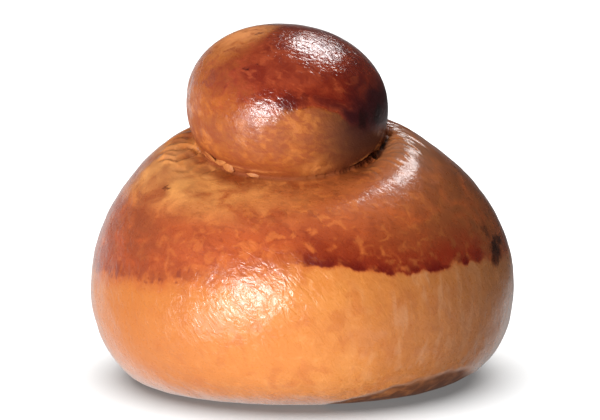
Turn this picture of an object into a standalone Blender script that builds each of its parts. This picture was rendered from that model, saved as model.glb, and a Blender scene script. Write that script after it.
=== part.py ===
"""A brioche with a topknot: a wide round bun with a smaller ball of dough seated in its crown.

The two rounds of dough bake into one piece of bread, so the model is one solid.
Metres, +Z up. The origin is under the middle of the bun, on the flat face that it rests on.
The front is towards -Y, and the topknot sits a little forward and to the left.
"""

import math

import bmesh
import bpy
from mathutils import Euler, Matrix, Vector, noise

# The bun
BUN_WIDTH = 0.1100
BUN_DEPTH = 0.1062
GIRTH_HEIGHT = 0.0242
CROWN_RISE = 0.0472
CROWN_FULLNESS = 1.97
CROWN_LEAN = 0.0019
FOOT_RADIUS = 0.0392
FOOT_NARROWING = 0.0068
FOOT_SHIFT = 0.0038
FLANK_TUCK = 0.0005

# The topknot
KNOT_WIDTH = 0.0522
KNOT_DEPTH = 0.0517
KNOT_RISE = 0.0193
KNOT_DROP = 0.0212
KNOT_UNDERSIDE_FULLNESS = 2.5
KNOT_UNDERSIDE_SHIFT = 0.0014
KNOT_CENTRE = Vector((-0.0041, -0.0060, 0.0736))
KNOT_TILT = Euler((math.radians(4.0), math.radians(5.5), 0.0))

# The lip where the topknot's skin ends, and the neck of dough under it
LIP_TURN = math.radians(52.0)
LIP_CURL = 0.0003
LIP_CURL_TURN = math.radians(7.0)
LIP_RISE_RIGHT = 0.0010
NECK_STEP = 0.0008
NECK_INSET = 0.0008
NECK_INSET_RIGHT = 0.0022

# The socket that the topknot presses into the crown: wide and deep in front, a narrow crease behind
SOCKET_FRONT_DEPTH = 0.0082
SOCKET_BACK_DEPTH = 0.0042
SOCKET_FLOOR_RADIUS = 0.0200
SOCKET_FRONT_RIM = 0.0440
SOCKET_BACK_RIM = 0.0275
SOCKET_FRONT_START = -0.35
SOCKET_FADE_RISE = 0.30

# The shoulder of dough that bulges up round the socket's sides and back
SHOULDER_BULGE = 0.0005
SHOULDER_BULGE_RADIUS = 0.0330
SHOULDER_BULGE_SPREAD = 0.0060

# The open crease at the right of the neck
CREASE_DEPTH = 0.0026
CREASE_TURN = math.radians(-12.0)
CREASE_SPREAD = math.radians(42.0)
CREASE_FLOOR = 0.0220
CREASE_RIM = 0.0275

# Slow unevenness of the dough
SWELL_HEIGHT = 0.0006
FLANK_SWELL_SIZE = 0.034
CROWN_SWELL_SIZE = 0.020
KNOT_SWELL_SIZE = 0.024
FLANK_SEED = 3.1
CROWN_SEED = 8.4
KNOT_SEED = 5.9

# Folds that run out from the neck
PUCKER_HEIGHT = 0.00040
PUCKER_COUNT = 24
PUCKER_START = 0.0215
PUCKER_FULL = 0.0245
PUCKER_FADE = 0.0275
PUCKER_END = 0.0400
PUCKER_WANDER = 3.0
PUCKER_WANDER_SIZE = 0.016
PUCKER_FRONT_SHARE = 0.30
PUCKER_PATCHES = 2.2
PUCKER_PATCH_FLOOR = 0.35

# Flakes of torn dough along the seam: direction from the topknot's middle and lift in degrees
TEAR_LENGTH = 0.0046
TEAR_THICKNESS = 0.0010
TEAR_STAND_OUT = 0.0006
TEARS = (
    {"direction": 203.0, "size": 1.0, "lift": 35.0},
    {"direction": 213.0, "size": 1.2, "lift": 28.0},
    {"direction": 231.0, "size": 0.8, "lift": 30.0},
)

# Mesh steps
BUN_SEGMENTS = 96
FLANK_STEPS = 9
SHOULDER_STEPS = 8
SHOULDER_RADIUS = 0.0390
INNER_RING_RADIUS = 0.0170
NECK_RINGS = 15
RING_SHIFT_START = 0.0248
KNOT_SEGMENTS = 64
KNOT_STEPS = 14
SEAM_SEARCH_STEPS = 60
SAME_POINT = 1e-6

CRUST_COLOUR = (0.60, 0.24, 0.07, 1.0)
CRUST_ROUGHNESS = 0.38


def clear_scene():
    for obj in list(bpy.data.objects):
        bpy.data.objects.remove(obj)


def mix(low, high, share):
    return low + (high - low) * share


def ease(value, low, high):
    """0 below low, 1 above high, and a smooth step between them."""
    share = min(1.0, max(0.0, (value - low) / (high - low)))
    return share * share * (3.0 - 2.0 * share)


def swell(point, size, seed):
    """Slow unevenness of risen dough, in metres."""
    return SWELL_HEIGHT * noise.noise(Vector(point) / size + seed * Vector((1.0, 1.7, 0.3)))


def new_object(name, body):
    mesh = bpy.data.meshes.new(name)
    body.to_mesh(mesh)
    body.free()
    obj = bpy.data.objects.new(name, mesh)
    bpy.context.scene.collection.objects.link(obj)
    return obj


def spun(name, profile, segments):
    """A closed turned body. The profile is (radius, height) pairs, from the axis below to the axis above."""
    body = bmesh.new()
    ring = [body.verts.new((radius, 0.0, height)) for radius, height in profile]
    edges = [body.edges.new(pair) for pair in zip(ring, ring[1:])]
    bmesh.ops.spin(
        body,
        geom=ring + edges,
        cent=(0.0, 0.0, 0.0),
        axis=(0.0, 0.0, 1.0),
        angle=math.tau,
        steps=segments,
        use_merge=True,
    )
    bmesh.ops.remove_doubles(body, verts=body.verts, dist=SAME_POINT)
    bmesh.ops.recalc_face_normals(body, faces=body.faces)
    return new_object(name, body)


def crown_height(x, y):
    """Height of the undented crown over this place."""
    out = math.hypot(2.0 * x / BUN_WIDTH, 2.0 * y / BUN_DEPTH)
    full = max(0.0, 1.0 - out**CROWN_FULLNESS) ** (1.0 / CROWN_FULLNESS)
    return GIRTH_HEIGHT + CROWN_RISE * full


def bun_profile():
    """Flat underside, a round flank up to the girth, then rings over the crown, closest round the neck."""
    radius = BUN_WIDTH / 2
    points = [(0.0, 0.0), (FOOT_RADIUS / 2, 0.0)]
    for step in range(FLANK_STEPS):
        turn = math.pi / 2 * step / FLANK_STEPS
        out = mix(FOOT_RADIUS, radius, math.sin(turn))
        points.append((out, GIRTH_HEIGHT * (1.0 - math.cos(turn))))
    shoulder_turn = math.acos(SHOULDER_RADIUS / radius)
    rings = [radius * math.cos(shoulder_turn * step / SHOULDER_STEPS) for step in range(SHOULDER_STEPS)]
    rings += [mix(SHOULDER_RADIUS, INNER_RING_RADIUS, step / NECK_RINGS) for step in range(NECK_RINGS + 1)]
    rings += [INNER_RING_RADIUS / 2, 0.0]
    return points + [(out, crown_height(out, 0.0)) for out in rings]


def from_neck(x, y):
    """Distance and direction of this place from the neck's middle."""
    east, north = x - KNOT_CENTRE.x, y - KNOT_CENTRE.y
    return math.hypot(east, north), math.atan2(north, east)


def right_side(turn):
    """1 at the open crease right of the neck, falling to 0 away from it."""
    return 1.0 - ease(abs(turn - CREASE_TURN), 0.0, CREASE_SPREAD)


def socket(x, y):
    """Height that the topknot's weight gives the crown here: lower under it, higher round its back."""
    away, turn = from_neck(x, y)
    front = ease(-math.sin(turn), SOCKET_FRONT_START, 1.0)
    depth = mix(SOCKET_BACK_DEPTH, SOCKET_FRONT_DEPTH, front)
    rim = mix(SOCKET_BACK_RIM, SOCKET_FRONT_RIM, front)
    drop = depth * (1.0 - ease(away, SOCKET_FLOOR_RADIUS, rim))
    drop += CREASE_DEPTH * (1.0 - ease(away, CREASE_FLOOR, CREASE_RIM)) * right_side(turn)
    off_rim = (away - SHOULDER_BULGE_RADIUS) / SHOULDER_BULGE_SPREAD
    return SHOULDER_BULGE * (1.0 - front) * math.exp(-off_rim * off_rim) - drop


def pucker(x, y):
    """Folds that run out from the neck, strongest to its left and right, with softer stretches between."""
    away, turn = from_neck(x, y)
    band = ease(away, PUCKER_START, PUCKER_FULL) * (1.0 - ease(away, PUCKER_FADE, PUCKER_END))
    sides = mix(PUCKER_FRONT_SHARE, 1.0, abs(math.cos(turn)))
    around = Vector((math.cos(turn), math.sin(turn), 0.0))
    patch = mix(PUCKER_PATCH_FLOOR, 1.0, ease(noise.noise(PUCKER_PATCHES * around), -0.3, 0.3))
    wander = PUCKER_WANDER * noise.noise(Vector((x, y, 0.0)) / PUCKER_WANDER_SIZE)
    return PUCKER_HEIGHT * band * sides * patch * math.sin(PUCKER_COUNT * turn + wander)


def flank_point(x, y, z):
    """A point of the lower flank, drawn in at front and back, and shifted left towards the foot."""
    turn = math.atan2(y, x)
    low = 1.0 - math.sqrt(1.0 - (1.0 - z / GIRTH_HEIGHT) ** 2)
    narrow = 1.0 - low * FOOT_NARROWING / FOOT_RADIUS * math.sin(turn) ** 2
    tuck = 4.0 * low * (1.0 - low) * FLANK_TUCK * max(0.0, math.cos(turn))
    return x * narrow - FOOT_SHIFT * low**3 - tuck, y * narrow * BUN_DEPTH / BUN_WIDTH, z


def crown_point(x, y):
    """A point of the crown. Its inner rings are drawn round the topknot instead of the bun's middle."""
    near = 1.0 - ease(math.hypot(x, y), RING_SHIFT_START, BUN_WIDTH / 2)
    x += KNOT_CENTRE.x * near
    y = y * BUN_DEPTH / BUN_WIDTH + KNOT_CENTRE.y * near
    return x, y, crown_height(x, y)


def shape_bun(bun):
    """Takes the turned body to the shape of hand-rounded dough."""
    for vertex in bun.data.vertices:
        x, y, z = vertex.co
        if z < GIRTH_HEIGHT - SAME_POINT:
            x, y, z = flank_point(x, y, z)
        else:
            x, y, z = crown_point(x, y)
        off_table = ease(z, 0.0, GIRTH_HEIGHT / 2)
        wide = 1.0 + off_table * swell((x, y, z), FLANK_SWELL_SIZE, FLANK_SEED) / (BUN_WIDTH / 2)
        rise = max(0.0, z - GIRTH_HEIGHT) / CROWN_RISE
        x, y = x * wide - CROWN_LEAN * rise * rise, y * wide
        z += socket(x, y) * ease(rise, 0.0, SOCKET_FADE_RISE) + pucker(x, y)
        z += rise * swell((x, y, z), CROWN_SWELL_SIZE, CROWN_SEED)
        vertex.co = (x, y, z)


def underside_point(turn):
    """Radius and drop of the topknot's full underside, from its girth at 0 to its lowest point."""
    power = 2.0 / KNOT_UNDERSIDE_FULLNESS
    return KNOT_WIDTH / 2 * math.cos(turn) ** power, KNOT_DROP * math.sin(turn) ** power


def knot_profile():
    """A ball of dough, round above and fuller below, where its skin ends in a lip over the neck."""
    neck, lip_drop = underside_point(LIP_TURN)
    points = [(neck * share, -KNOT_DROP) for share in (0.0, 0.5, 0.85)]
    points += [(neck, -mix(lip_drop, KNOT_DROP, share)) for share in (0.8, 0.5, 0.25, 0.08)]
    points.append((neck + LIP_CURL, -lip_drop - LIP_CURL))
    for step in range(KNOT_STEPS):
        turn = LIP_TURN * (1.0 - (step + 0.35) / KNOT_STEPS)
        out, drop = underside_point(turn)
        curl = LIP_CURL * (1.0 - ease(LIP_TURN - turn, 0.0, LIP_CURL_TURN))
        points.append((out + curl, -drop))
    for step in range(KNOT_STEPS):
        turn = math.pi / 2 * step / KNOT_STEPS
        points.append((KNOT_WIDTH / 2 * math.cos(turn), KNOT_RISE * math.sin(turn)))
    points.append((0.0, KNOT_RISE))
    return points


def shape_knot(knot):
    """Takes the turned ball to hand-rounded dough, leaning over the open crease, and seats it."""
    radius = KNOT_WIDTH / 2
    neck_top = underside_point(LIP_TURN)[1] + LIP_CURL
    for vertex in knot.data.vertices:
        x, y, z = vertex.co
        right = right_side(math.atan2(y, x))
        low = max(0.0, -z / KNOT_DROP)
        inset = ease(-z, neck_top, neck_top + NECK_STEP) * mix(NECK_INSET, NECK_INSET_RIGHT, right)
        grow = 1.0 + (swell(vertex.co, KNOT_SWELL_SIZE, KNOT_SEED) - inset) / radius
        x = x * grow + KNOT_UNDERSIDE_SHIFT * low * low
        y = y * grow * KNOT_DEPTH / KNOT_WIDTH
        vertex.co = (x, y, z * grow + LIP_RISE_RIGHT * low * right)
    knot.data.transform(Matrix.Translation(KNOT_CENTRE) @ KNOT_TILT.to_matrix().to_4x4())


def seam_point(bun, knot, turn):
    """Where the topknot's side goes into the crown, in this direction from the neck's middle."""
    outward = Vector((math.cos(turn), math.sin(turn), 0.0))
    above = 2.0 * KNOT_CENTRE.z
    for step in range(SEAM_SEARCH_STEPS):
        height = KNOT_CENTRE.z - KNOT_DROP * step / SEAM_SEARCH_STEPS
        start = Vector((KNOT_CENTRE.x, KNOT_CENTRE.y, height)) + outward * BUN_WIDTH
        _, side, _, _ = knot.ray_cast(start, -outward)
        _, crown, _, _ = bun.ray_cast(Vector((side.x, side.y, above)), Vector((0.0, 0.0, -1.0)))
        if crown.z >= side.z:
            break
    return side


def tear(name, bun, knot, direction, size, lift):
    """A small flake of torn dough that stands out of the seam."""
    turn = math.radians(direction)
    outward = Vector((math.cos(turn), math.sin(turn), 1.0))
    place = seam_point(bun, knot, turn) + outward * TEAR_STAND_OUT
    length = TEAR_LENGTH * size
    body = bmesh.new()
    bmesh.ops.create_icosphere(body, subdivisions=2, radius=0.5)
    stretch = Matrix.Diagonal((length / 2, length, TEAR_THICKNESS, 1.0))
    lean = Matrix.Rotation(math.radians(lift), 4, "Y")
    around = Matrix.Rotation(turn, 4, "Z")
    body.transform(Matrix.Translation(place) @ around @ lean @ stretch)
    return new_object(name, body)


def join(body, pieces):
    """One union of the body with all the pieces, applied, and the pieces removed."""
    group = bpy.data.collections.new("joined")
    bpy.context.scene.collection.children.link(group)
    for piece in pieces:
        bpy.context.scene.collection.objects.unlink(piece)
        group.objects.link(piece)
    union = body.modifiers.new("union", "BOOLEAN")
    union.operation = "UNION"
    union.operand_type = "COLLECTION"
    union.collection = group
    graph = bpy.context.evaluated_depsgraph_get()
    whole = bpy.data.meshes.new_from_object(body.evaluated_get(graph))
    body.modifiers.clear()
    body.data = whole
    for piece in pieces:
        bpy.data.objects.remove(piece)
    bpy.data.collections.remove(group)


def rest_on_origin(obj):
    """Puts the middle of the outline over the origin and the underside at height 0."""
    xs, ys, zs = zip(*(vertex.co for vertex in obj.data.vertices))
    middle = Vector(((min(xs) + max(xs)) / 2, (min(ys) + max(ys)) / 2, min(zs)))
    obj.data.transform(Matrix.Translation(-middle))


def crust():
    material = bpy.data.materials.new("egg_washed_crust")
    material.use_nodes = True
    shader = material.node_tree.nodes["Principled BSDF"]
    shader.inputs["Base Color"].default_value = CRUST_COLOUR
    shader.inputs["Roughness"].default_value = CRUST_ROUGHNESS
    return material


def main():
    clear_scene()
    bun = spun("brioche", bun_profile(), BUN_SEGMENTS)
    shape_bun(bun)
    knot = spun("topknot", knot_profile(), KNOT_SEGMENTS)
    shape_knot(knot)
    bpy.context.view_layer.update()
    flakes = [tear(f"tear_{index}", bun, knot, **shape) for index, shape in enumerate(TEARS)]
    join(bun, [knot, *flakes])
    rest_on_origin(bun)
    bun.data.materials.clear()
    bun.data.materials.append(crust())
    bun.data.shade_smooth()


main()
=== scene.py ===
"""A brioche with a topknot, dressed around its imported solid.

Lengths are in metres; places on the crust and the tables are in millimetres.
"""
import math

import bpy
import numpy as np
from mathutils import Matrix, Vector, noise


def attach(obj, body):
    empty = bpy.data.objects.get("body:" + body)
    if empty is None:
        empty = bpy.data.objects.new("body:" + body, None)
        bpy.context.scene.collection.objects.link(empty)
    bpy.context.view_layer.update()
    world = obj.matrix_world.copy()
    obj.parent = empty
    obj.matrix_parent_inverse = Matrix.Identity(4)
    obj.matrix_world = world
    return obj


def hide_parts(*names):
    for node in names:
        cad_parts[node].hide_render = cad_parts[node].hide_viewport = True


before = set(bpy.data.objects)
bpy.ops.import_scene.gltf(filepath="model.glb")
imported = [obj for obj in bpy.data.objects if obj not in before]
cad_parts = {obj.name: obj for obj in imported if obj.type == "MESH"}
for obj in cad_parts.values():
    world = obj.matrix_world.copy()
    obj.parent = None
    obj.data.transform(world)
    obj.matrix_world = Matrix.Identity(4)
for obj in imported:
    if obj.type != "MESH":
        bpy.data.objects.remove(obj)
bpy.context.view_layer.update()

MM = 0.001

# The camera stands a little above the table, far off, as for a product picture.
VIEW_HEIGHT = math.radians(11.5)
VIEW_TARGET = Vector((-0.0006, 0.0, 0.0439))
VIEW_DISTANCE = 1.081
VIEW_LENS = 250.0
SENSOR_WIDTH = 36.0

# Directions are in degrees about the upright axis, counter-clockwise from +X; the camera is at -90.
# The neck's axis in plan, the directions from it in which its details lie, how far out the pleats
# are measured, and the topknot's flank, on which the crease's line is looked for.
NECK = np.array((-3.9, -5.8))
LEFT_FOLDS = 190
LIPS = 222
RIGHT_PLEATS = 352
POCKET_FROM = 312
POCKET_TO = 347
PLEAT_RADIUS = 28
FLANK_REACH = (14, 29)
FLANK_HEIGHT = (50, 75)
CREASE_STEP = 3
# The crust's cells, how near two of the solid's points merge, its passes of smoothing, first away
# from the crease and then all over, and how thick a torn scale is.
CRUST_CELL = 0.00077
MERGE = 0.00001
BROAD_PASSES = 40
LIGHT_PASSES = 4
SCALE_THICKNESS = 0.00022
# Single patches: the pale crown, a brown and a violet stain, painted shade at the turn under the right,
# the two highlights on the topknot, where the glaze is the most wrinkled, and the blister.
CROWN = (-15, -7, 93)
BROWN_STAIN = (-29.9, -2.0, 63.9)
VIOLET_STAIN = (-42, -25, 42)
TURN_SHADE = (38, -29, 5)
LOW_GLINT = (-8.5, -30.7, 76)
HIGH_GLINT = (8, -16, 89)
BLISTER = (-22.8, -19.9)
BLISTER_SIZE = (2.6, 1.9)

# Round the bun: height of the egg wash's lower edge, how dark it baked there, how much of it ran
# down in drips, and how softly it fades.
TIDE_HEIGHT = (
    (-180, 32.0), (-164, 31.0), (-155, 31.8), (-142, 33.0), (-130, 34.6), (-120, 35.2),
    (-105, 37.5), (-88, 40.6), (-72, 38.2), (-60, 36.2), (-42, 37.0), (-31, 36.2),
    (-15, 35.0), (0, 36.0), (30, 37.0), (60, 35.5), (90, 37.5), (120, 36.0), (150, 34.0),
)
TIDE_SCORCH = (
    (-180, 0.3), (-150, 0.35), (-125, 0.3), (-116, 0.15), (-95, 0.2),
    (-88, 0.8), (-75, 0.9), (-50, 1.0), (-31, 1.0), (-26, 0.3), (-8, 0.4),
    (30, 0.8), (60, 0.4), (100, 0.9), (140, 0.5),
)
TIDE_DRIPS = ((-180, 0.6), (-168, 1.0), (-122, 1.0), (-114, 0.0), (-20, 0.0), (40, 0.5), (120, 0.2))
TIDE_FADE = (
    (-180, 5.0), (-125, 5.0), (-95, 7.0), (-86, 1.2), (-30, 0.8), (-22, 2.5), (20, 1.0), (120, 2.5),
)
# Round the topknot: height of its browned cap's edge, and how softly it fades.
CAP_HEIGHT = (
    (-180, 82.5), (-145, 83.0), (-135, 80.0), (-120, 77.3), (-100, 75.5), (-88, 76.0),
    (-74, 76.6), (-60, 74.6), (-52, 71.5), (-40, 70.5), (-20, 69.0), (30, 70.0),
    (90, 73.0), (150, 79.0),
)
CAP_FADE = (
    (-180, 9.0), (-130, 9.0), (-110, 6.0), (-92, 1.5), (-85, 0.5), (-60, 0.5), (-50, 1.0),
    (-20, 2.5), (60, 4.0), (120, 6.0),
)
# Height up to which the dry sole shows where the bun curls up from the table.
SOLE_HEIGHT = (
    (-180, -1.0), (-85, -1.0), (-72, 3.6), (-59, 6.6), (-50, 8.0), (-42, 9.0), (-34, 8.0),
    (-22, 4.0), (-8, 1.5), (30, 3.0), (90, 3.0), (150, -1.0),
)
# Creases that fan out from the neck: (reach, direction) along each, then depth and half width.
FOLDS = (
    (((23.0, 187), (25.6, 183), (28.5, 185), (31.0, 182), (33.5, 181)), 0.38, 0.80),
    (((23.0, 188), (27.2, 193), (29.4, 195), (31.5, 190), (34.0, 187)), 0.48, 0.80),
    (((24.0, 199), (28.0, 204), (32.0, 201)), 0.20, 0.80),
    (((25.5, 173), (29.0, 170), (33.0, 172)), 0.24, 0.80),
    (((25.5, 158), (29.0, 160), (32.0, 157)), 0.30, 0.60),
    (((25.5, 325), (29.0, 322), (32.0, 318)), 0.16, 0.50),
    (((26.0, 336), (30.0, 333), (34.0, 330)), 0.18, 0.50),
    (((26.0, 343), (31.0, 341), (35.0, 336)), 0.15, 0.50),
    (((25.5, 349), (29.0, 350), (36.0, 345)), 0.22, 0.50),
    (((26.5, 355), (30.0, 353), (34.0, 353)), 0.22, 0.40),
    (((26.0, 361), (31.0, 360), (37.0, 356)), 0.21, 0.50),
    (((26.5, 367), (30.0, 369), (35.0, 366)), 0.17, 0.50),
    (((26.5, 376), (30.0, 374), (35.0, 377)), 0.20, 0.50),
)
# Torn scales beside the crease: where, length and width, turn in their own plane, and curl.
SCALES = (
    ((-23.2, -16.6, 61.5), 6.0, 1.0, -16, 0.15),
    ((-20.6, -19.0, 60.4), 5.2, 1.6, 6, 0.30),
    ((-18.4, -20.6, 59.5), 4.4, 2.4, -20, 0.45),
    ((-12.4, -24.0, 58.0), 3.5, 1.1, -8, 0.25),
)
# Noises by name: cell size, detail, distortion, how long the cells are along X, Y and Z, their
# turn about Y, and a shift.
NOISES = {
    "broad": (17.0, 3.0, 0.0, (1, 1, 1), 0, 0.0),
    "cloudy": (7.0, 4.0, 0.6, (1.25, 1.25, 0.77), 0, 0.1),
    "mottle": (3.2, 5.0, 0.6, (1, 1, 1), 0, 0.0),
    "dashes": (2.2, 3.0, 0.8, (1.7, 1.7, 0.77), 12, 0.3),
    "fine": (1.1, 3.0, 0.0, (1, 1, 1), 0, 0.0),
    "streaks": (2.2, 2.0, 0.3, (1, 1, 6.0), 0, 0.0),
    "blots": (4.2, 3.0, 0.3, (1, 1, 1.25), 0, 0.2),
    "wrinkles": (2.1, 3.5, 1.3, (2.0, 1.0, 0.9), 48, 0.0),
    "crinkles": (1.5, 3.5, 1.2, (1.7, 1.0, 0.9), 38, 0.5),
}
# Colours laid over the bare dough, in order: the masks they need, the noise that breaks them up,
# where in it they start and are full, and the strongest they get.
LAYERS = (
    (("bun",), "mottle", 0.50, 0.75, 0.30, "#dc985a"),
    (("bun",), "cloudy", 0.45, 0.70, 0.35, "#bd6a2c"),
    (("bun",), "broad", 0.45, 0.70, 0.30, "#d8904c"),
    (("bun",), "blots", 0.50, 0.66, 0.45, "#b3602a"),
    # Darker on the bun's left: painted shade that tempers the strong lamps there.
    (("bun", "left"), "broad", 0.00, 0.20, 0.75, "#a85f28"),
    # Pale streaks and patches on the bun's right: painted sheen.
    (("bun", "right"), "streaks", 0.48, 0.70, 0.50, "#dba57c"),
    (("bun", "right"), "cloudy", 0.52, 0.70, 0.40, "#d89a70"),
    (("bun", "right"), "mottle", 0.52, 0.36, 0.30, "#a0552a"),
    # Browner on the right: partly the crust's own colour, partly painted shade.
    (("bun", "umber"), "broad", 0.00, 0.20, 0.80, "#8a5632"),
    (("washed",), "broad", 0.00, 0.20, 1.00, "#ac4e24"),
    (("washed",), "cloudy", 0.42, 0.66, 0.55, "#9c421f"),
    (("washed",), "dashes", 0.50, 0.62, 0.50, "#87341a"),
    (("washed",), "mottle", 0.48, 0.36, 0.45, "#cf7234"),
    (("washed", "gold"), "cloudy", 0.76, 0.42, 1.00, "#ffb262"),
    # Darker on the washed left: painted shade that tempers the highlight's spill there.
    (("washed", "left"), "cloudy", 0.10, 0.50, 0.60, "#8c3f1c"),
    (("washed", "violet"), "cloudy", 0.30, 0.60, 0.75, "#7c3a1e"),
    # Browner on the washed right: partly its own colour, partly painted shade.
    (("washed", "umber"), "cloudy", 0.10, 0.60, 1.00, "#7a4424"),
    (("band",), "mottle", 0.25, 0.55, 1.00, "#7a2611"),
    (("drops",), "blots", 0.42, 0.58, 1.00, "#5c130b"),
    (("fingers",), "cloudy", 0.35, 0.55, 0.80, "#7a321c"),
    (("topknot",), "broad", 0.00, 0.01, 1.00, "#994e18"),
    (("topknot",), "mottle", 0.42, 0.64, 0.60, "#ba6c2c"),
    (("topknot",), "cloudy", 0.45, 0.65, 0.60, "#8e4a1e"),
    (("topknot",), "dashes", 0.48, 0.60, 0.55, "#873a18"),
    (("topknot",), "blots", 0.48, 0.64, 0.50, "#864020"),
    (("topknot", "gold"), "mottle", 0.20, 0.60, 0.95, "#d98c52"),
    # Darker on the topknot's right: partly its own colour, partly painted shade.
    (("topknot", "umber"), "broad", 0.00, 0.20, 0.90, "#4c2410"),
    (("toasted",), "broad", 0.00, 0.20, 0.92, "#89321c"),
    (("toasted",), "cloudy", 0.42, 0.62, 0.80, "#6a1c0f"),
    (("toasted",), "dashes", 0.54, 0.68, 0.55, "#a44a28"),
    (("toasted",), "mottle", 0.52, 0.36, 0.40, "#641a10"),
    # Near-black where burnt: partly burnt crust, partly painted shade on the dark side.
    (("charred_and_shaded",), "broad", 0.00, 0.20, 1.00, "#38070a"),
    # Painted shade round the neck under the topknot's rim, with the brown stain.
    (("neck_shade_and_stain",), "mottle", 0.10, 0.55, 1.00, "#833a16"),
    (("bare",), "mottle", 0.70, 0.30, 0.85, "#dd8f4a"),
    # Painted shade in the folds' hollows, the pocket, the crease and the gap; painted sheen and shade on the
    # pleats.
    (("hollow_shade",), "fine", 0.20, 0.50, 0.65, "#834018"),
    (("pleats",), "mottle", 0.20, 0.60, 0.60, "#96694a"),
    (("pocket_shade",), "fine", 0.20, 0.50, 0.80, "#3a2a12"),
    (("crease",), "fine", 0.10, 0.40, 0.70, "#803c16"),
    (("gap",), "fine", 0.00, 0.20, 1.00, "#120602"),
    # The sole is painted dark: partly its own colour, partly painted shade under the curl.
    (("sole",), "mottle", 0.10, 0.60, 0.92, "#5e2e10"),
)
# Small marks: where, radius, strength and colour.
MARKS = (
    ((-4.4, -31.0, 55.1), 0.8, 0.8, "#5a2410"), ((-34.6, -22.8, 54.5), 0.8, 0.8, "#5a2410"),
    ((-11.8, -11.8, 92.0), 0.8, 0.8, "#4a1a10"), ((-14.4, -24.2, 84.8), 0.7, 0.8, "#3a100c"),
    ((-11.2, -25.2, 85.2), 0.6, 0.7, "#3a100c"), ((-23.1, -19.2, 82.4), 2.3, 0.6, "#733228"),
    ((-3.4, -31.0, 78.0), 2.6, 0.75, "#4a120e"), ((0.6, -30.9, 77.8), 1.9, 0.6, "#4a120e"),
    ((15.2, -23.1, 71.8), 2.4, 0.9, "#240605"), ((19.4, -16.8, 72.2), 2.6, 0.9, "#240605"),
    ((49.7, -17.8, 37.6), 3.3, 0.95, "#2e140a"), ((48.3, -20.4, 34.8), 2.3, 0.9, "#3a190c"),
    ((51.2, -13.6, 39.5), 2.2, 0.9, "#3a190c"), ((46.6, -19.0, 42.0), 2.4, 0.7, "#4d2412"),
)
# What is stored at the crust's points for the material to read.
PAINTED = (
    "bun", "topknot", "above_tide", "tide_fade", "scorch", "drips", "cap", "char_and_shade", "gold",
    "umber", "violet", "crease", "gap", "wrinkled", "hollow_shade", "pocket_shade", "bare", "neck_shade_and_stain",
    "pleats", "sole", "ray", "from_crease", "left", "right",
)
BARE_DOUGH = "#c47636"
# How far a mark's edge wanders, and how deep the wrinkles and the fine grain are.
MARK_SWAY = 0.008
WRINKLE_DEPTH = 0.00045
GRAIN_DEPTH = 0.00007
# Roughness of what differs from the plain skin, and what is left of the glaze on it.
ROUGHNESS = (
    ("pleats", 0.38), ("toasted", 0.17), ("charred_and_shaded", 0.50), ("unwashed", 0.62), ("sole", 0.70),
)
MATT_ROUGHNESS = 0.8
GLAZE_LEFT = (("pleats", 0.55), ("charred_and_shaded", 0.20))
SCALE_PALE = "#b8733a"
SCALE_DARK = "#a05a2a"


def linear(hex_colour):
    """An sRGB hex colour as the linear colour that a shader takes."""
    channels = [int(hex_colour[i:i + 2], 16) / 255 for i in (1, 3, 5)]
    return tuple(c / 12.92 if c <= 0.04045 else ((c + 0.055) / 1.055) ** 2.4 for c in channels) + (1.0,)


def add(tree, kind, sockets=None, **settings):
    """Adds one node, with its settings, and sets or links its sockets."""
    node = tree.nodes.new("ShaderNode" + kind)
    for name, value in settings.items():
        setattr(node, name, value)
    for socket, value in (sockets or {}).items():
        if isinstance(value, bpy.types.Node):
            value = next(output for output in value.outputs if output.enabled)
        if isinstance(value, bpy.types.NodeSocket):
            tree.links.new(value, node.inputs[socket])
        else:
            node.inputs[socket].default_value = value
    return node


def only(piece):
    """Makes this the one selected object."""
    bpy.ops.object.select_all(action="DESELECT")
    piece.select_set(True)
    bpy.context.view_layer.objects.active = piece


def finish_modifiers(piece):
    """Applies the piece's modifiers, in order."""
    only(piece)
    for modifier in list(piece.modifiers):
        bpy.ops.object.modifier_apply(modifier=modifier.name)


def around(turn, stops):
    """A table's value at each direction, going round."""
    return np.interp(turn, [s[0] for s in stops], [s[1] for s in stops], period=360)


def ease(value, low, high):
    """0 below low, 1 above high, smooth between."""
    t = np.clip((value - low) / (high - low), 0.0, 1.0)
    return t * t * (3 - 2 * t)


def hump(value, centre, width):
    """1 at the centre, falling off softly over this width."""
    return np.exp(-(((value - centre) / width) ** 2))


def turned_from(turn, centre):
    """Degrees from a direction, from -180 to 180."""
    return (turn - centre + 180) % 360 - 180


def facing(turn, centre, width):
    """1 towards this direction, falling off softly over this many degrees."""
    return hump(turned_from(turn, centre), 0, width)


def patch(spots, place, reach):
    """1 at this place, falling off softly over this reach."""
    return hump(np.linalg.norm(spots - np.array(place), axis=1), 0, reach)


def places(piece):
    """Vertex places in millimetres, and unit normals."""
    count = len(piece.data.vertices)
    spots = np.empty(count * 3, np.float32)
    piece.data.vertices.foreach_get("co", spots)
    normals = np.empty(count * 3, np.float32)
    piece.data.vertices.foreach_get("normal", normals)
    return spots.reshape(-1, 3).astype(float) / MM, normals.reshape(-1, 3).astype(float)


def move(piece, spots):
    """Puts the vertices at these places, given in millimetres."""
    piece.data.vertices.foreach_set("co", (spots * MM).astype(np.float32).ravel())
    piece.data.update()


def clouds(spots, size, octaves=2, shift=0.0):
    """Soft noise from about -1 to 1, with cells of this size."""
    offset = Vector((shift, shift * 0.7, shift * 1.3))
    return np.array([noise.fractal(Vector(s) / size + offset, 0.9, 2.0, octaves) for s in spots])


def neck_frame(spots):
    """Direction about the neck's axis, 0 to 360, and distance from the axis."""
    away = spots[:, :2] - NECK
    return np.degrees(np.arctan2(away[:, 1], away[:, 0])) % 360, np.hypot(away[:, 0], away[:, 1])


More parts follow.
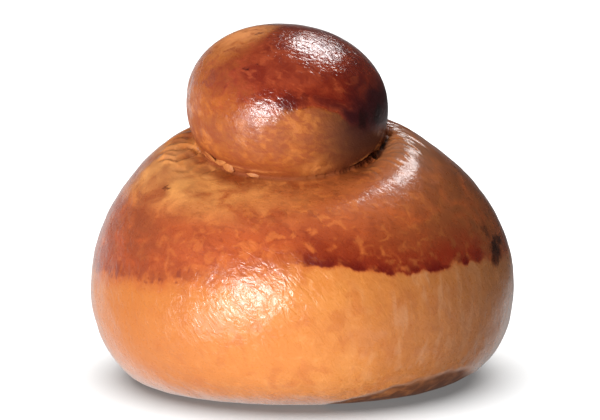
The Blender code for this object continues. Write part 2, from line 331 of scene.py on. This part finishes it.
def crease_line(spots, normals):
    """Reach from the neck's axis and height of the crease under the topknot, going round."""
    turn, reach = neck_frame(spots)
    outward = ((spots[:, :2] - NECK) * normals[:, :2]).sum(axis=1) / reach
    flank = (outward > 0.3) & (normals[:, 2] < 0.2)
    flank &= (reach > FLANK_REACH[0]) & (reach < FLANK_REACH[1])
    flank &= (spots[:, 2] > FLANK_HEIGHT[0]) & (spots[:, 2] < FLANK_HEIGHT[1])
    line = []
    for step in range(0, 360, CREASE_STEP):
        near = np.flatnonzero(flank & (np.abs(turned_from(turn, step)) < 4))
        lowest = near[np.argmin(spots[near, 2])]
        line.append((reach[lowest], spots[lowest, 2]))
    line = np.array(line)
    wide = np.concatenate([line[-3:], line, line[:3]])
    return np.stack([np.convolve(wide[:, i], np.ones(7) / 7, "valid") for i in (0, 1)], axis=1)


def from_crease(spots, line):
    """Distance from the crease, direction about the neck, and which points are the topknot's."""
    turn, reach = neck_frame(spots)
    steps = np.arange(0, 360, CREASE_STEP)
    out = reach - np.interp(turn, steps, line[:, 0], period=360)
    rise = spots[:, 2] - np.interp(turn, steps, line[:, 1], period=360)
    return np.hypot(out, rise), turn, rise > 1.2 * out


def below_sole_edge(spots):
    """How far each point lies below the sole's ragged edge."""
    side = np.degrees(np.arctan2(spots[:, 1], spots[:, 0]))
    return around(side, SOLE_HEIGHT) - spots[:, 2] + clouds(spots, 7.0, 3, 5.0)


def crust_from_solid():
    """A fine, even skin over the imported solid, its facets smoothed away except beside the crease."""
    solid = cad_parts["brioche"]
    crust = bpy.data.objects.new("baked_crust", solid.data.copy())
    bpy.context.scene.collection.objects.link(crust)
    crust.data.materials.clear()
    only(crust)
    bpy.ops.object.mode_set(mode="EDIT")
    bpy.ops.mesh.select_all(action="SELECT")
    bpy.ops.mesh.remove_doubles(threshold=MERGE)
    bpy.ops.object.mode_set(mode="OBJECT")
    remesh = crust.modifiers.new("even skin", "REMESH")
    remesh.mode = "VOXEL"
    remesh.voxel_size = CRUST_CELL
    remesh.use_smooth_shade = True
    finish_modifiers(crust)
    spots, normals = places(crust)
    distance, _, _ = from_crease(spots, crease_line(spots, normals))
    away = ease(distance, 1.0, 5.0)
    group = crust.vertex_groups.new(name="away from the crease")
    for level in range(1, 11):
        chosen = np.flatnonzero(np.round(away * 10) == level)
        group.add([int(i) for i in chosen], level / 10, "REPLACE")
    broad = crust.modifiers.new("no facets", "SMOOTH")
    broad.factor = 0.5
    broad.iterations = BROAD_PASSES
    broad.vertex_group = group.name
    light = crust.modifiers.new("no steps", "SMOOTH")
    light.factor = 0.5
    light.iterations = LIGHT_PASSES
    finish_modifiers(crust)
    return crust


def refine_neck(crust):
    """Splits the faces beside the crease and on the folds, for their thin relief."""
    spots, normals = places(crust)
    distance, turn, on_head = from_crease(spots, crease_line(spots, normals))
    folded = np.maximum(facing(turn, LEFT_FOLDS, 30), facing(turn, RIGHT_PLEATS, 34))
    near = distance < np.where(on_head, 4.0, 3.0 + 10.0 * folded)
    only(crust)
    bpy.ops.object.mode_set(mode="EDIT")
    bpy.ops.mesh.select_mode(type="FACE")
    bpy.ops.mesh.select_all(action="DESELECT")
    bpy.ops.object.mode_set(mode="OBJECT")
    for face in crust.data.polygons:
        face.select = all(near[v] for v in face.vertices)
    bpy.ops.object.mode_set(mode="EDIT")
    bpy.ops.mesh.subdivide(number_cuts=1)
    bpy.ops.mesh.select_all(action="SELECT")
    bpy.ops.mesh.quads_convert_to_tris()
    bpy.ops.object.mode_set(mode="OBJECT")


def pocket(distance, turn):
    """How far a point is inside the little pocket under the topknot's right edge, and on its rim."""
    along = (turn - POCKET_FROM) / (POCKET_TO - POCKET_FROM)
    past_end = turn - POCKET_TO
    top = 0.9 + 3.3 * np.clip(along, 0, 1) ** 1.2
    inside = ease(along, 0.05, 0.3) * (1 - ease(past_end, -2.2, -1.2))
    inside *= ease(top - distance, -0.1, 0.5) * ease(distance, 0.5, 0.9)
    rim = hump(distance, top + 0.15, 0.32) * ease(along, 0.0, 0.25) * (1 - ease(past_end, 0, 2))
    rim = np.maximum(rim, hump(past_end, -0.4, 1.0) * ease(top - distance, -0.3, 0.1))
    return inside, rim


def lips(distance, turn, wander):
    """The thin skin edges along the topknot's lower left."""
    first = hump(distance, 0.95 + 0.25 * wander, 0.32) * facing(turn, LIPS - 20, 26)
    second = hump(distance, 2.0 + 0.6 * wander, 0.35) * facing(turn, LIPS + 21, 18)
    return np.maximum(first, second)


def folds(turn, reach, wander):
    """Height of the folded skin round the neck, and how much of it is crease or ridge."""
    height, crease, ridge = (np.zeros(len(turn)) for _ in range(3))
    for stops, depth, width in FOLDS:
        reaches = [s[0] for s in stops]
        middle = np.interp(reach, reaches, [s[1] for s in stops])
        beside = np.abs(np.radians(turned_from(turn, middle)) * reach + 0.5 * wander)
        length = ease(reach, reaches[0] - 2.5, reaches[0])
        length *= 1 - ease(reach, reaches[-1] - 2.5, reaches[-1])
        low = hump(beside, 0, width) * length
        high = hump(beside, 1.9 * width, 1.1 * width) * length
        height += depth * (0.7 * high - low)
        crease = np.maximum(crease, low * min(1.0, depth / 0.5))
        ridge = np.maximum(ridge, high * min(1.0, depth / 0.6))
    return height, crease, ridge


def neck_details(spots, line):
    """What both the shaping and the painting need to know about the neck."""
    distance, turn, on_head = from_crease(spots, line)
    wander = clouds(spots, 6.0, 2, 3.0)
    inside, rim = pocket(distance, turn)
    height, crease, ridge = folds(turn, neck_frame(spots)[1], wander)
    blister = np.hypot(*((spots[:, :2] - BLISTER) / BLISTER_SIZE).T)
    return {
        "distance": distance, "turn": turn, "on_head": on_head, "inside": inside * on_head,
        "rim": rim * on_head, "lip": lips(distance, turn, wander) * on_head,
        "fold": np.where(on_head, 0, height), "fold_crease": np.where(on_head, 0, crease),
        "fold_ridge": np.where(on_head, 0, ridge),
        "blister": np.where(on_head | (spots[:, 2] < 40), 9.0, blister),
    }


def shape_neck(crust):
    """Lips, folds and the open crease round the topknot, as sculpting would leave them."""
    spots, normals = places(crust)
    line = crease_line(spots, normals)
    at = neck_details(spots, line)
    distance, turn = at["distance"], at["turn"]
    # The lips stand up, and the skin dips beside them.
    lipped = facing(turn, LIPS, 34) * at["on_head"]
    height = 0.36 * at["lip"] - 0.30 * lipped * hump(distance, 1.9, 0.5)
    height -= 0.2 * lipped * hump(distance, 3.2, 0.9)
    height += 0.30 * at["rim"] - 1.2 * at["inside"] + at["fold"]
    height += 0.3 * (1 - ease(at["blister"], 0.3, 1.05)) - 0.10 * hump(at["blister"], 1.15, 0.15)
    # The crease goes all round, and is open at the right.
    right_gap = facing(turn, RIGHT_PLEATS, 14)
    height -= (0.35 + 0.75 * right_gap) * hump(distance, 0, 0.6 + 0.7 * right_gap)
    # Soft dents, shallower on the topknot.
    dents = np.where(at["on_head"], 0.5, 1.0)
    height += dents * (0.14 * clouds(spots, 11.0, 2, 9.0) + 0.10 * clouds(spots, 4.5, 2, 17.0))
    # The sole lies a little in from its raised edge.
    sole = below_sole_edge(spots)
    height += 0.15 * hump(sole, -1.2, 1.2)
    height -= 0.25 * ease(sole, -1.2, 1.2) * ease(spots[:, 2], 1.0, 4.0)
    # What rests on the table stays flat on it.
    resting = ease(spots[:, 2], 0.2, 2.0)
    spots += normals * (height * resting)[:, None]
    lowest = spots[:, 2].min()
    spots[:, 2] -= lowest * (1 - ease(spots[:, 2], lowest, 2.0))
    move(crust, spots)
    return line


def paint(crust, line):
    """Stores where the crust is the topknot's, washed, dripped on, scorched, golden or browned."""
    spots, _ = places(crust)
    at = neck_details(spots, line)
    distance, turn, on_head = at["distance"], at["turn"], at["on_head"]
    side = np.degrees(np.arctan2(spots[:, 1], spots[:, 0]))
    about = turned_from(turn, 0)
    x, _, z = spots.T
    # Torn and raised skin shows bare dough. Next to the crease the skin is painted darker red-brown,
    # painted shade under the topknot's rim, and a brown stain is added.
    torn = on_head * facing(turn, 290, 9) * hump(distance, 2.8, 2.6)
    bare = np.maximum(np.maximum(torn, at["fold_ridge"]), np.maximum(at["rim"], at["lip"]))
    neck_shade_and_stain = (1 - ease(distance, 2.0, 7.0)) * np.maximum(0.25, facing(turn, 232, 42))
    neck_shade_and_stain = np.maximum(neck_shade_and_stain, patch(spots, BROWN_STAIN, 3.0) * ~on_head)
    # The topknot's cap, with a pale crown and a burnt strip along its edge; its right is burnt and
    # also painted near-black as shade on the side away from the lamps.
    cap = (z - around(about, CAP_HEIGHT)) / around(about, CAP_FADE)
    crown = patch(spots, CROWN, 11.5)
    char_and_shade = ease(about, -78, -34) * (1 - ease(about, 30, 80)) * (0.34 + 0.66 * hump(z, 74, 7))
    strip = ease(about, -84, -72) * (1 - ease(about, -10, 20)) * (0.6 + 0.4 * ease(about, -62, -50))
    strip *= hump(z - around(about, CAP_HEIGHT), 1.6, 2.8)
    # Broad tints: gold at the upper left, umber at the right. The umber is partly the crust's own
    # browning and partly painted shade, on the side away from the lamps and at the turn under the right.
    gold = np.where(on_head, crown, ease(z, 46, 56) * (0.1 + 0.9 * facing(side, -145, 38)))
    umber = np.where(on_head, ease(x, -2, 14), ease(x, 2, 50))
    umber = np.maximum(umber, 1.2 * patch(spots, TURN_SHADE, 9))
    # Painted shade: the crease, the folds' hollows, the pocket and the open gap at the right are painted
    # dark.
    groove = 0.5 * facing(turn, 210, 22) * hump(distance, 1.9, 0.6) * on_head
    hollow_shade = np.maximum(np.maximum(at["fold_crease"], groove), 0.35 * hump(at["blister"], 1.1, 0.14))
    # The pleated skin is painted greyer: painted sheen and shade.
    pleats = np.maximum(facing(turn, RIGHT_PLEATS, 26), 0.6 * facing(turn, LEFT_FOLDS, 26))
    pleats = pleats * ease(distance, 0.8, 2.5) * (1 - ease(distance, 9, 20)) * ~on_head
    gap = facing(turn, RIGHT_PLEATS + 1, 10)
    gap = gap * (1 - ease(distance, np.where(on_head, 0.2, 0.8), np.where(on_head, 1.0, 2.6)))
    # The glaze is the most wrinkled on the bun's front and where the topknot's highlights are.
    wrinkled = 0.25 + 0.62 * facing(side, -115, 30) * hump(z, 28, 16)
    glinting = np.maximum(0.45 * patch(spots, LOW_GLINT, 8), patch(spots, HIGH_GLINT, 9))
    wrinkled = np.where(on_head, 0.35 + 0.50 * glinting, wrinkled)
    # The masks of the crease, the gap, the hollows, the pocket and the neck carry painted shade; those of
    # the burnt and browner right carry some.
    masks = {
        "bun": ~on_head, "topknot": on_head, "above_tide": z - around(side, TIDE_HEIGHT),
        "tide_fade": around(side, TIDE_FADE), "scorch": around(side, TIDE_SCORCH),
        "drips": around(side, TIDE_DRIPS), "cap": np.clip(cap, -2, 2.2) - 2.9 * crown,
        "char_and_shade": np.maximum(char_and_shade, strip), "gold": gold, "umber": umber,
        "violet": patch(spots, VIOLET_STAIN, 13), "crease": 1 - ease(distance, 0.2, 1.1),
        "gap": gap, "wrinkled": wrinkled, "hollow_shade": hollow_shade, "pocket_shade": at["inside"],
        "bare": bare, "neck_shade_and_stain": neck_shade_and_stain, "pleats": pleats,
        "sole": ease(below_sole_edge(spots), -1.2, 1.2),
        "ray": np.radians((turn - 90) % 360) * PLEAT_RADIUS, "from_crease": distance,
        "left": ease(-x, 5, 45), "right": ease(x, 5, 35),
    }
    for name in PAINTED:
        stored = crust.data.attributes.new(name, "FLOAT", "POINT")
        stored.data.foreach_set("value", np.asarray(masks[name], np.float32))


def crust_material():
    """Egg-washed brioche crust, oven baked.

    The dough browned to a thin, finely wrinkled skin, which breaks its highlights up. The wash
    baked to a glaze: thick on the topknot's cap, whose highlights are bright, and thin on the bun.
    The dough that it missed below the cap, the crease and the sole are dull.
    """
    material = bpy.data.materials.new("egg-washed brioche crust, oven baked")
    material.use_nodes = True
    tree = material.node_tree
    tree.nodes.clear()
    here = add(tree, "TexCoord").outputs["Object"]
    value = {name: add(tree, "Attribute", attribute_name=name).outputs["Fac"] for name in PAINTED}
    for name, (size, detail, distortion, stretch, turn, shift) in NOISES.items():
        spread = add(tree, "Mapping", {"Vector": here, "Scale": stretch, "Location": (shift, 0, 0),
                                       "Rotation": (0, math.radians(turn), 0)}, vector_type="TEXTURE")
        value[name] = add(tree, "TexNoise", {"Vector": spread, "Scale": 1 / (size * MM),
                                             "Detail": detail, "Distortion": distortion})

    # The wash's lower edge: ragged in blots at the right, drawn out in drips at the left.
    ragged = add(tree, "Math", {0: value["blots"], 1: 4.5, 2: -2.25}, operation="MULTIPLY_ADD")
    edge = add(tree, "Math", {0: value["above_tide"], 1: ragged}, operation="ADD")
    soft = add(tree, "Math", {0: edge, 1: value["tide_fade"]}, operation="DIVIDE")
    sway = add(tree, "Math", {0: value["cloudy"], 1: 5.0, 2: -2.5}, operation="MULTIPLY_ADD")
    fallen = add(tree, "Math", {0: value["above_tide"], 1: sway}, operation="ADD")
    crackle = add(tree, "Math", {0: value["mottle"], 1: 3.2, 2: -1.6}, operation="MULTIPLY_ADD")
    toast = add(tree, "Math", {0: value["cap"], 1: crackle}, operation="ADD")
    uneven = add(tree, "Math", {0: value["cloudy"], 1: 0.6, 2: -0.3}, operation="MULTIPLY_ADD")
    burnt = add(tree, "Math", {0: value["char_and_shade"], 1: uneven}, operation="ADD")
    # Masks made of masks: each factor eases from one value to the other as its source goes from
    # low to high.
    whole = {
        "washed": ((value["bun"], 0, 1, 0, 1), (soft, -1.0, 1.0, 0, 1)),
        "band": ((value["scorch"], 0, 1, 0, 1), (edge, -0.3, 0.5, 0, 1), (edge, 1.5, 12.0, 1, 0)),
        "drops": ((value["scorch"], 0, 1, 0, 1), (edge, -0.3, 0.5, 0, 1), (edge, 0.5, 4.0, 1, 0)),
        "fingers": ((value["drips"], 0, 1, 0, 1), (value["streaks"], 0.50, 0.56, 0, 1),
                    (fallen, -1.4, -0.8, 0, 1), (fallen, 1.5, 5.0, 1, 0)),
        "toasted": ((value["topknot"], 0, 1, 0, 1), (toast, -1.0, 1.0, 0, 1)),
        "charred_and_shaded": ((value["topknot"], 0, 1, 0, 1), (burnt, 0.25, 0.95, 0, 1)),
        "unwashed": ((value["topknot"], 0, 1, 0, 1), (toast, -1.8, -0.4, 1, 0)),
    }
    for name, factors in whole.items():
        for source, low, high, start, end in factors:
            part = add(tree, "MapRange", {0: source, 1: low, 2: high, 3: start, 4: end},
                       interpolation_type="SMOOTHSTEP")
            if name in value:
                part = add(tree, "Math", {0: value[name], 1: part}, operation="MULTIPLY")
            value[name] = part

    colour = linear(BARE_DOUGH)
    for masks, grain, low, high, strength, shade in LAYERS:
        cover = add(tree, "MapRange", {0: value[grain], 1: low, 2: high, 4: strength},
                    interpolation_type="SMOOTHSTEP")
        for mask in masks:
            cover = add(tree, "Math", {0: cover, 1: value[mask]}, operation="MULTIPLY", use_clamp=True)
        colour = add(tree, "Mix", {0: cover, 6: colour, 7: linear(shade)}, data_type="RGBA")
    sideways = add(tree, "VectorMath", {0: value["mottle"].outputs["Color"], 1: (MARK_SWAY,) * 3,
                                        2: (-MARK_SWAY / 2,) * 3}, operation="MULTIPLY_ADD")
    shaken = add(tree, "VectorMath", {0: here, 1: sideways}, operation="ADD")
    for place, radius, strength, shade in MARKS:
        apart = add(tree, "VectorMath", {0: shaken, 1: [axis * MM for axis in place]},
                    operation="DISTANCE").outputs["Value"]
        cover = add(tree, "MapRange", {0: apart, 1: 1.3 * radius * MM, 2: 0.5 * radius * MM,
                                       4: strength}, interpolation_type="SMOOTHSTEP")
        colour = add(tree, "Mix", {0: cover, 6: colour, 7: linear(shade)}, data_type="RGBA")

    # Wrinkles of the dried skin, finer on the topknot, and pleats that fan out from the neck.
    fan = add(tree, "CombineXYZ", {0: value["ray"], 1: value["from_crease"]})
    fan = add(tree, "Mapping", {"Vector": fan, "Scale": (1.0, 7.0, 1.0)}, vector_type="TEXTURE")
    pleated = add(tree, "TexNoise", {"Vector": fan, "Scale": 0.95, "Detail": 2.5, "Distortion": 0.5})
    skin_relief = add(tree, "Mix", {0: value["topknot"], 2: value["wrinkles"], 3: value["crinkles"]})
    skin_relief = add(tree, "Mix", {0: value["pleats"], 2: skin_relief, 3: pleated})
    relief = add(tree, "Bump", {"Strength": value["wrinkled"], "Distance": WRINKLE_DEPTH,
                                "Height": skin_relief})
    relief = add(tree, "Bump", {"Strength": 1.0, "Distance": GRAIN_DEPTH, "Height": value["fine"],
                                "Normal": relief})
    matt = add(tree, "Math", {0: value["crease"], 1: value["pocket_shade"]}, operation="ADD")
    matt = add(tree, "Math", {0: matt, 1: value["gap"]}, operation="ADD", use_clamp=True)
    rough = add(tree, "MapRange", {0: value["fine"], 1: 0.2, 2: 0.8, 3: 0.22, 4: 0.38})
    for mask, level in ROUGHNESS:
        rough = add(tree, "Mix", {0: value[mask], 2: rough, 3: level})
    rough = add(tree, "Mix", {0: matt, 2: rough, 3: MATT_ROUGHNESS})
    coat = add(tree, "MapRange", {0: value["toasted"], 3: 0.64, 4: 1.0})
    for mask in (matt, value["unwashed"], value["sole"]):
        glazed = add(tree, "Math", {0: 1.0, 1: mask}, operation="SUBTRACT", use_clamp=True)
        coat = add(tree, "Math", {0: coat, 1: glazed}, operation="MULTIPLY")
    for mask, level in GLAZE_LEFT:
        less = add(tree, "MapRange", {0: value[mask], 3: 1.0, 4: level})
        coat = add(tree, "Math", {0: coat, 1: less}, operation="MULTIPLY")
    skin = add(tree, "BsdfPrincipled", {
        "Base Color": colour, "Roughness": rough, "Normal": relief, "IOR": 1.38,
        "Coat Weight": coat, "Coat Roughness": 0.2, "Coat Normal": relief,
    })
    add(tree, "OutputMaterial", {"Surface": skin})
    return material


def scale_material():
    """Torn brioche skin, oven dried: satin and papery, paler where it lifted off the crust."""
    material = bpy.data.materials.new("torn brioche skin, oven dried")
    material.use_nodes = True
    tree = material.node_tree
    tree.nodes.clear()
    here = add(tree, "TexCoord").outputs["Object"]
    patchy = add(tree, "TexNoise", {"Vector": here, "Scale": 1 / (1.6 * MM), "Detail": 3.0})
    grain = add(tree, "TexNoise", {"Vector": here, "Scale": 1 / (0.5 * MM), "Detail": 2.0})
    spread = add(tree, "MapRange", {0: patchy, 1: 0.35, 2: 0.65})
    colour = add(tree, "Mix", {0: spread, 6: linear(SCALE_PALE), 7: linear(SCALE_DARK)},
                 data_type="RGBA")
    relief = add(tree, "Bump", {"Strength": 1.0, "Distance": 0.00006, "Height": grain})
    rough = add(tree, "MapRange", {0: grain, 1: 0.3, 2: 0.7, 3: 0.45, 4: 0.62})
    skin = add(tree, "BsdfPrincipled", {"Base Color": colour, "Roughness": rough, "Normal": relief,
                                        "IOR": 1.45})
    add(tree, "OutputMaterial", {"Surface": skin})
    return material


def torn_scales(crust):
    """Small leaf-shaped scales of skin that tore as the topknot sprang up."""
    made = []
    for place, length, width, twist, curl in SCALES:
        bpy.ops.object.select_all(action="DESELECT")
        bpy.ops.mesh.primitive_grid_add(x_subdivisions=14, y_subdivisions=8, size=2.0)
        scale = bpy.context.active_object
        for vertex in scale.data.vertices:
            u, v = vertex.co.x, vertex.co.y
            leaf = max(0.04, 1 - u * u) ** 0.75 * (1 + 0.3 * u)
            wave = 0.14 * math.sin(4 * u + place[0])
            rise = curl * (0.6 - u * u - 0.5 * v * v)
            vertex.co = Vector((u * length / 2, (v * leaf + wave) * width / 2, rise)) * MM
        thick = scale.modifiers.new("skin", "SOLIDIFY")
        thick.thickness = SCALE_THICKNESS
        thick.offset = 0.0
        soft = scale.modifiers.new("soft edge", "SUBSURF")
        soft.levels = soft.render_levels = 1
        finish_modifiers(scale)
        _, spot, normal, _ = crust.closest_point_on_mesh(Vector(place) * MM)
        radial = Vector((place[0] - NECK[0], place[1] - NECK[1], 0)).normalized()
        front = (normal + 0.7 * radial + Vector((0, 0, 0.35))).normalized()
        along = Vector((-radial.y, radial.x, 0))
        along = (along - along.dot(front) * front).normalized()
        along = Matrix.Rotation(math.radians(twist), 3, front) @ along
        put = Matrix((along, front.cross(along), front)).transposed().to_4x4()
        put.translation = spot + front * 0.0003
        scale.data.transform(put)
        made.append(scale)
    only(made[0])
    for scale in made:
        scale.select_set(True)
    bpy.ops.object.join()
    bpy.ops.object.shade_smooth()
    made[0].name = "torn_scales"
    made[0].data.materials.append(scale_material())
    return made[0]


# The table: its side, how much light it scatters, and the little that it gives off itself, which
# keeps its shadow from going black.
TABLE_SIZE = 6.0
TABLE_SHADE = 0.25
TABLE_GLOW = 0.16


def table_top():
    """A plain white table that runs out of the picture, matt, so that it mirrors nothing."""
    bpy.ops.object.select_all(action="DESELECT")
    bpy.ops.mesh.primitive_plane_add(size=TABLE_SIZE, location=(0, 0, 0))
    table = bpy.context.active_object
    table.name = "table_top"
    material = bpy.data.materials.new("white laminate, matt")
    material.use_nodes = True
    shader = material.node_tree.nodes["Principled BSDF"]
    shader.inputs["Base Color"].default_value = (TABLE_SHADE,) * 3 + (1.0,)
    shader.inputs["Roughness"].default_value = 0.9
    shader.inputs["Specular IOR Level"].default_value = 0.0
    shader.inputs["Emission Color"].default_value = (1.0, 1.0, 1.0, 1.0)
    shader.inputs["Emission Strength"].default_value = TABLE_GLOW
    table.data.materials.append(material)
    table.visible_glossy = False
    return table


# Lamps: turn from the camera's side towards +X, rise, distance, width and height as seen from the
# brioche in degrees, radiance, whether it lights the bread or the table, and whether the glaze
# mirrors it. They stand round a point halfway up the brioche.
LAMP_CENTRE = Vector((0, 0, 0.05))
LAMPS = {
    "key softbox": (-25, 7.5, 1.0, 34, 25, 8.5, "brioche", True),
    "key core": (-24, 8.5, 0.98, 16, 11, 30.0, "brioche", True),
    "low front": (-42, -14, 1.2, 42, 32, 3.6, "brioche", True),
    "left wall": (-72, 40, 1.2, 50, 60, 1.05, "brioche", False),
    "rear window": (151, 52, 1.0, 26, 20, 11.0, "brioche", True),
    "overhead": (0, 88, 1.2, 70, 70, 1.15, "brioche", False),
    "table light": (-90, 87, 1.2, 93, 93, 10.6, "table", True),
}
# What the room gives off by direction: strength, then the axis it follows and where it starts and
# is full. X is the picture's right, Y its depth and Z up.
ROOM = (
    (0.80, (("Y", 0.3, 0.9), ("Z", 0.25, -0.1), ("X", 0.4, -0.3))),
    (0.60, (("Y", 0.4, 0.8), ("Z", -0.1, -0.28), ("X", 0.1, 0.35))),
    (0.45, (("Z", -0.2, -0.8), ("X", 0.3, -0.1))),
    (0.14, (("X", -0.3, -1.0),)),
)
ROOM_EVEN = 0.025


def studio(groups):
    """The camera, the lamps and the room round the brioche."""
    camera = bpy.data.objects.new("camera", bpy.data.cameras.new("camera"))
    camera.data.lens = VIEW_LENS
    camera.data.sensor_width = SENSOR_WIDTH
    back = Vector((0, -math.cos(VIEW_HEIGHT), math.sin(VIEW_HEIGHT)))
    camera.location = VIEW_TARGET + back * VIEW_DISTANCE
    camera.rotation_euler = (math.pi / 2 - VIEW_HEIGHT, 0, 0)
    camera.data.clip_start = 0.05
    bpy.context.scene.collection.objects.link(camera)
    bpy.context.scene.camera = camera
    bpy.context.scene.view_settings.view_transform = "Standard"
    # All lamps but the table's fall on the brioche alone, so that its shadow stays close and even.
    lit = {}
    for name, pieces in groups.items():
        lit[name] = bpy.data.collections.new(name)
        for piece in pieces:
            lit[name].objects.link(piece)
    for name, (turn, rise, distance, width, height, radiance, group, mirrored) in LAMPS.items():
        light = bpy.data.lights.new(name, "AREA")
        light.shape = "ELLIPSE"
        light.size = 2 * distance * math.tan(math.radians(width / 2))
        light.size_y = 2 * distance * math.tan(math.radians(height / 2))
        light.energy = radiance * math.pi * math.pi / 4 * light.size * light.size_y
        lamp = bpy.data.objects.new(name, light)
        turn, rise = math.radians(turn), math.radians(rise)
        towards = Vector((math.sin(turn) * math.cos(rise), -math.cos(turn) * math.cos(rise), math.sin(rise)))
        lamp.location = LAMP_CENTRE + towards * distance
        lamp.rotation_euler = towards.to_track_quat("Z", "Y").to_euler()
        lamp.visible_glossy = mirrored
        bpy.context.scene.collection.objects.link(lamp)
        lamp.light_linking.receiver_collection = lit[group]
        if group == "brioche":
            lamp.light_linking.blocker_collection = lit[group]
    world = bpy.data.worlds.new("studio")
    world.use_nodes = True
    tree = world.node_tree
    axes = add(tree, "SeparateXYZ", {0: add(tree, "TexCoord").outputs["Generated"]})
    glow = ROOM_EVEN
    for strength, edges in ROOM:
        part = strength
        for axis, start, full in edges:
            step = add(tree, "MapRange", {0: axes.outputs[axis], 1: start, 2: full},
                       interpolation_type="SMOOTHSTEP")
            part = add(tree, "Math", {0: step, 1: part}, operation="MULTIPLY")
        glow = add(tree, "Math", {0: part, 1: glow}, operation="ADD")
    tree.links.new(glow.outputs[0], tree.nodes["Background"].inputs["Strength"])
    tree.nodes["Background"].inputs["Color"].default_value = (1, 1, 1, 1)
    bpy.context.scene.world = world


table = table_top()
crust = crust_from_solid()
refine_neck(crust)
neck_line = shape_neck(crust)
paint(crust, neck_line)
crust.data.materials.append(crust_material())
scales = torn_scales(crust)
for piece in (crust, scales):
    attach(piece, "root")
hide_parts("brioche")
studio({"brioche": (crust, scales), "table": (table,)})
